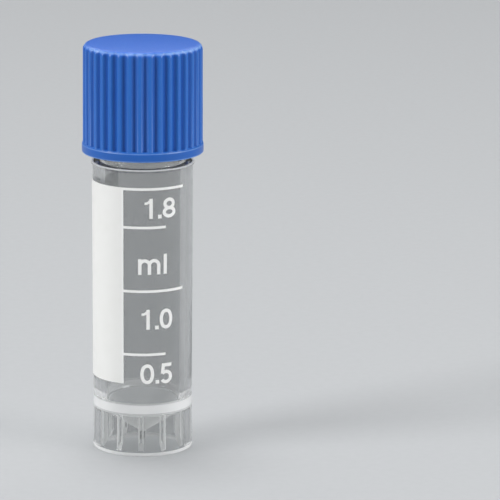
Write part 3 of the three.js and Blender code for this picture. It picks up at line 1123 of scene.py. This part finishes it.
seal_shape = spin_round(
    section_chain(
        [
            (SEAL_INNER, SEAL_Z, SEAL_ROUNDING),
            (SEAL_OUTER, SEAL_Z, SEAL_ROUNDING),
            (SEAL_OUTER, SEAL_TOP_Z, SEAL_ROUNDING),
            (SEAL_INNER, SEAL_TOP_Z, SEAL_ROUNDING),
        ],
        closed=True,
    ),
    TUBE_STEPS,
)
finish_piece("silicone_seal", seal_shape, [silicone], "seal", "seal_ring")

# %% [markdown]
# ## Print
#
# The print is flat artwork that a screen lays on the tube as it rolls by, so it is made the same
# way here: drawn flat, with X as the length along the wall and Z as the height, given its
# thickness, and only then wrapped round. It holds the write-on panel, four volume lines and
# plain figures.
#
# The lines stand where the bore puts them: half a millilitre is 500 cubic millimetres, which
# fills the same height each time, and the step from 1.5 to 1.8 ml is 0.6 of that.

# %% Fields of ink
INK_GAP = 0.02
INK_THICKNESS = 0.04
LINE_WIDTH = 0.3
LINE_OVERLAP = 0.3
STEP_VOLUME = 500.0
TOP_STEP_SHARE = 0.6
PANEL_LEFT = radians(-142) * BODY_RADIUS
PANEL_RIGHT = radians(-22.5) * BODY_RADIUS
LONG_LINE = radians(51.4) * BODY_RADIUS
SHORT_LINE = radians(26.8) * BODY_RADIUS
STEP_HEIGHT = STEP_VOLUME / (pi * ((BORE_RADIUS + BORE_FLOOR_RADIUS) / 2) ** 2)
TOP_LINE_Z = PRINT_TOP_Z - LINE_WIDTH / 2
LINE_15_Z = TOP_LINE_Z - TOP_STEP_SHARE * STEP_HEIGHT
LINE_10_Z = LINE_15_Z - STEP_HEIGHT
LINE_05_Z = LINE_10_Z - STEP_HEIGHT


def ink_field(artwork, left, right, bottom, top):
    """A rectangle of ink in the flat artwork."""
    place = Matrix.Translation(((left + right) / 2, 0, (bottom + top) / 2))
    size = Matrix.Diagonal((right - left, 1, top - bottom, 1))
    upright = Matrix.Rotation(pi / 2, 4, "X")
    bmesh.ops.create_grid(
        artwork, x_segments=1, y_segments=1, size=0.5, matrix=place @ size @ upright
    )


fields = bmesh.new()
ink_field(fields, PANEL_LEFT, PANEL_RIGHT, PRINT_Z, PRINT_TOP_Z)
line_left = PANEL_RIGHT - LINE_OVERLAP
for height, end in (
    (TOP_LINE_Z, LONG_LINE),
    (LINE_15_Z, SHORT_LINE),
    (LINE_10_Z, LONG_LINE),
    (LINE_05_Z, SHORT_LINE),
):
    ink_field(fields, line_left, end, height - LINE_WIDTH / 2, height + LINE_WIDTH / 2)
    print(f"line at {height:.2f} mm")

# %% [markdown]
# The figures are drawn with a pen. Its nib is a short edge: it is extruded for a straight move
# and spun for a turn, which keeps the stroke's width even all the way, as in the plain sans
# lettering of such scales. An oval is four turns, two tight and two wide.

# %% Pen
STROKE = 0.4
PEN_STEP = radians(9)
STROKE_ENDS_MEET = 1e-3


def pen_stroke(artwork, start, heading, moves, width=STROKE):
    """Draws (length, 0) straight moves and (radius, degrees) turns, to the left when positive."""
    here, aim = Vector((start[0], 0, start[1])), radians(heading)
    left = Vector((-sin(aim), 0, cos(aim)))
    nib = [artwork.verts.new(here + left * width / 2), artwork.verts.new(here - left * width / 2)]
    edge = [artwork.edges.new(nib)]
    first = list(nib)
    for size, turn in moves:
        left = Vector((-sin(aim), 0, cos(aim)))
        if turn:
            sweep = radians(turn)
            side = 1 if turn > 0 else -1
            centre = here + left * size * side
            spun = bmesh.ops.spin(
                artwork,
                geom=nib + edge,
                cent=centre,
                axis=(0, -1, 0),
                dvec=(0, 0, 0),
                angle=sweep,
                steps=max(2, ceil(abs(sweep) / PEN_STEP)),
                use_merge=False,
                use_normal_flip=False,
                use_duplicate=False,
            )["geom_last"]
            here = centre + Matrix.Rotation(sweep, 3, (0, -1, 0)) @ (here - centre)
            aim += sweep
        else:
            move = Vector((cos(aim), 0, sin(aim))) * size
            spun = bmesh.ops.extrude_edge_only(artwork, edges=edge)["geom"]
            moved = [part for part in spun if isinstance(part, bmesh.types.BMVert)]
            bmesh.ops.translate(artwork, verts=moved, vec=move)
            here = here + move
        nib = [part for part in spun if isinstance(part, bmesh.types.BMVert)]
        edge = [part for part in spun if isinstance(part, bmesh.types.BMEdge)]
    bmesh.ops.remove_doubles(artwork, verts=first + nib, dist=STROKE_ENDS_MEET)


def pen_oval(artwork, left, bottom, width, height, side_span):
    """A closed oval of the given outer size; side_span is half of each side's turn."""
    half_wide, half_high = (width - STROKE) / 2, (height - STROKE) / 2
    cosine, sine = cos(radians(side_span)), sin(radians(side_span))
    share = cosine * sine - (1 - cosine) * (1 - sine)
    end_radius = (half_wide * sine - half_high * (1 - cosine)) / share
    side_radius = (half_high * cosine - half_wide * (1 - sine)) / share
    end_span = 180 - 2 * side_span
    turns = [(side_radius, side_span), (end_radius, end_span), (side_radius, 2 * side_span)]
    turns += [(end_radius, end_span), (side_radius, side_span)]
    pen_stroke(artwork, (left + width - STROKE / 2, bottom + height / 2), 90, turns)


print(f"pen: {STROKE} mm wide, {degrees(PEN_STEP):.0f} degrees a step in a turn")

# %% [markdown]
# Each figure is drawn from its lower left-hand corner. A one is a stem with a curled flag, a
# five a bar, a leaning upright and an open bowl, and an eight two ovals that share a stroke.

# %% Figures
FIGURE_HEIGHT = 2.42
SMALL_HEIGHT = 1.9
POINT_SIZE = 0.44


def figure_one(artwork, left, base):
    stem, flag_height, flag_width, flag_bend = 0.58, 1.84, 0.28, 0.62
    ink_field(artwork, left + stem, left + stem + STROKE, base, base + FIGURE_HEIGHT)
    flag_start = (left, base + flag_height)
    pen_stroke(artwork, flag_start, 0, [(0.1, 0), (flag_bend, 62)], width=flag_width)


def figure_zero(artwork, left, base):
    pen_oval(artwork, left, base, width=1.68, height=FIGURE_HEIGHT, side_span=25)


def figure_five(artwork, left, base):
    bar_right, bar_length = 1.5, 1.2
    upright_left, upright_length, upright_heading = 0.44, 1.25, -96
    bowl_left, bowl_height, bowl_radius = 0.285, 1.17, 0.625
    bar_start = (left + bar_right, base + FIGURE_HEIGHT - STROKE / 2)
    pen_stroke(artwork, bar_start, 180, [(bar_length, 0)])
    upright_start = (left + upright_left, base + FIGURE_HEIGHT)
    pen_stroke(artwork, upright_start, upright_heading, [(upright_length, 0)])
    pen_stroke(artwork, (left + bowl_left, base + bowl_height), 50, [(bowl_radius, -285)])


def figure_eight(artwork, left, base):
    upper_base, inset = 1.0, 0.1
    upper_height = FIGURE_HEIGHT - upper_base
    pen_oval(artwork, left, base, width=1.74, height=1.40, side_span=45)
    pen_oval(artwork, left + inset, base + upper_base, 1.54, upper_height, side_span=45)


def point_mark(artwork, left, base):
    ink_field(artwork, left, left + POINT_SIZE, base, base + POINT_SIZE)


def letter_m(artwork, left, base):
    reach = 1.135
    bend = SMALL_HEIGHT - STROKE / 2 - reach / 2
    ink_field(artwork, left, left + STROKE, base, base + SMALL_HEIGHT)
    for foot in (left + STROKE / 2, left + STROKE / 2 + reach):
        pen_stroke(artwork, (foot, base + bend), 90, [(reach / 2, -180), (bend, 0)])


def letter_l(artwork, left, base):
    ink_field(artwork, left, left + STROKE, base, base + FIGURE_HEIGHT)


print(f"figures {FIGURE_HEIGHT} mm high, small letter {SMALL_HEIGHT} mm")

# %% [markdown]
# The scale says 1.8, 1.0 and 0.5 ml. Each number stands under the line it belongs to, and the
# unit stands between two lines. As in type, a figure has an advance, which is the distance to
# whatever follows it, so a number needs only the place of its first figure.

# %% Scale
ONE_ADVANCE = 1.63
ZERO_ADVANCE = 1.85
POINT_ADVANCE = 0.57
UNIT_ADVANCE = 3.1


def scale_number(artwork, left, base, first, advance, second):
    """Two figures with a decimal point between them."""
    first(artwork, left, base)
    point_mark(artwork, left + advance, base)
    second(artwork, left + advance + POINT_ADVANCE, base)


figures = bmesh.new()
scale_number(figures, 0.2, TOP_LINE_Z - 3.55, figure_one, ONE_ADVANCE, figure_eight)
scale_number(figures, -0.15, LINE_10_Z - 4.65, figure_one, ONE_ADVANCE, figure_zero)
scale_number(figures, -0.3, LINE_05_Z - 3.6, figure_zero, ZERO_ADVANCE, figure_five)
unit_left, unit_base = -0.55, LINE_10_Z + 2.05
letter_m(figures, unit_left, unit_base)
letter_l(figures, unit_left + UNIT_ADVANCE, unit_base)
print("the scale's figures:", len(figures.faces), "flat faces")

# %% [markdown]
# The flat artwork is given its thickness, and fields and figures are joined. Before it is
# wrapped, it is cut across in short steps, because a face can only follow a curve at its points.
# One more cut, just inside the panel's right-hand end, leaves it a narrow border of the brighter
# ink that the lines are printed in.

# %% Thickness and wrapping
WRAP_STEP = 0.26
PANEL_BORDER = 0.2
ON_THE_CUT = 1e-5


def cut_across(bm, along):
    """Cuts flat artwork across at a distance along the wall."""
    bmesh.ops.bisect_plane(
        bm,
        geom=bm.verts[:] + bm.edges[:] + bm.faces[:],
        dist=ON_THE_CUT,
        plane_co=(along, 0, 0),
        plane_no=(1, 0, 0),
    )


for sheet in (fields, figures):
    bmesh.ops.recalc_face_normals(sheet, faces=sheet.faces)
    facing_back = [face for face in sheet.faces if face.normal.y > 0]
    bmesh.ops.reverse_faces(sheet, faces=facing_back)
    grown = bmesh.ops.extrude_face_region(sheet, geom=sheet.faces[:], use_keep_orig=True)["geom"]
    risen = [part for part in grown if isinstance(part, bmesh.types.BMVert)]
    bmesh.ops.translate(sheet, verts=risen, vec=(0, -INK_THICKNESS, 0))
    bmesh.ops.recalc_face_normals(sheet, faces=sheet.faces)

artwork = joined(fields, [figures], overlapping=True)
left_end = min(point.co.x for point in artwork.verts)
right_end = max(point.co.x for point in artwork.verts)
for step in range(1, ceil((right_end - left_end) / WRAP_STEP)):
    cut_across(artwork, left_end + step * WRAP_STEP)
border_start = PANEL_RIGHT - PANEL_BORDER
cut_across(artwork, border_start)
for face in artwork.faces:
    if face.calc_center_median().x < border_start:
        face.material_index = 1
for point in artwork.verts:
    angle = point.co.x / BODY_RADIUS
    radius = wall_radius(point.co.z) + INK_GAP - point.co.y
    point.co = (radius * sin(angle), -radius * cos(angle), point.co.z)
print("artwork:", len(artwork.faces), "faces after wrapping")

# %% [markdown]
# ## White ink
#
# Screen ink for polypropylene is nearly opaque, matt to satin, and cured hard. The mesh of the
# screen leaves a faint weave; a real one has some 100 threads in a centimetre, and it is drawn
# here at half of that so that it shows. The lines and figures are a bright white, and the panel
# is a second, duller ink that a pencil can write on, so one recipe is made up twice. A tenth of
# the light goes through the layer, which keeps the back of the print from looking black.

# %% White ink
SCREEN_THREAD = 0.2 * MM
INK_PATCH = 1.5 * MM
LIGHT_THROUGH = 0.1


def white_ink(name, low_tone, high_tone):
    """Cured screen ink, whose white varies a little between two tones."""
    ink = new_material(name)
    coords = add_node(ink, "TexCoord")
    weave = add_node(
        ink,
        "TexVoronoi",
        {"distance": "CHEBYCHEV"},
        {"Vector": coords.outputs["Object"], "Scale": 1 / SCREEN_THREAD, "Randomness": 0.35},
    )
    patches = add_node(
        ink,
        "TexNoise",
        inputs={"Vector": coords.outputs["Object"], "Scale": 1 / INK_PATCH, "Detail": 3.0},
    )
    tone = add_node(
        ink,
        "Mix",
        {"data_type": "RGBA"},
        {"Factor": patches.outputs["Fac"], "A": colour(low_tone), "B": colour(high_tone)},
    )
    sheen = add_node(
        ink,
        "MapRange",
        inputs={"Value": patches.outputs["Fac"], "To Min": 0.42, "To Max": 0.58},
    )
    relief = add_node(
        ink,
        "Bump",
        inputs={"Height": weave.outputs["Distance"], "Strength": 0.2, "Distance": 0.006 * MM},
    )
    shader = add_node(
        ink,
        "BsdfPrincipled",
        inputs={
            "Base Color": tone.outputs["Result"],
            "Roughness": sheen.outputs["Result"],
            "Normal": relief.outputs["Normal"],
        },
    )
    glow = add_node(ink, "BsdfTranslucent", inputs={"Color": colour(high_tone)})
    layer = add_node(
        ink,
        "MixShader",
        inputs={0: LIGHT_THROUGH, 1: shader.outputs["BSDF"], 2: glow.outputs["BSDF"]},
    )
    set_surface(ink, "Material", layer.outputs["Shader"])
    return ink


inks = [
    white_ink("white_screen_ink", "F6F6F4", "FBFBFA"),
    white_ink("matt_write_on_ink", "F0F0ED", "F5F5F3"),
]
finish_piece("print", artwork, inks, "vial_tube", "printed_panel", sharp_angle=40.0)
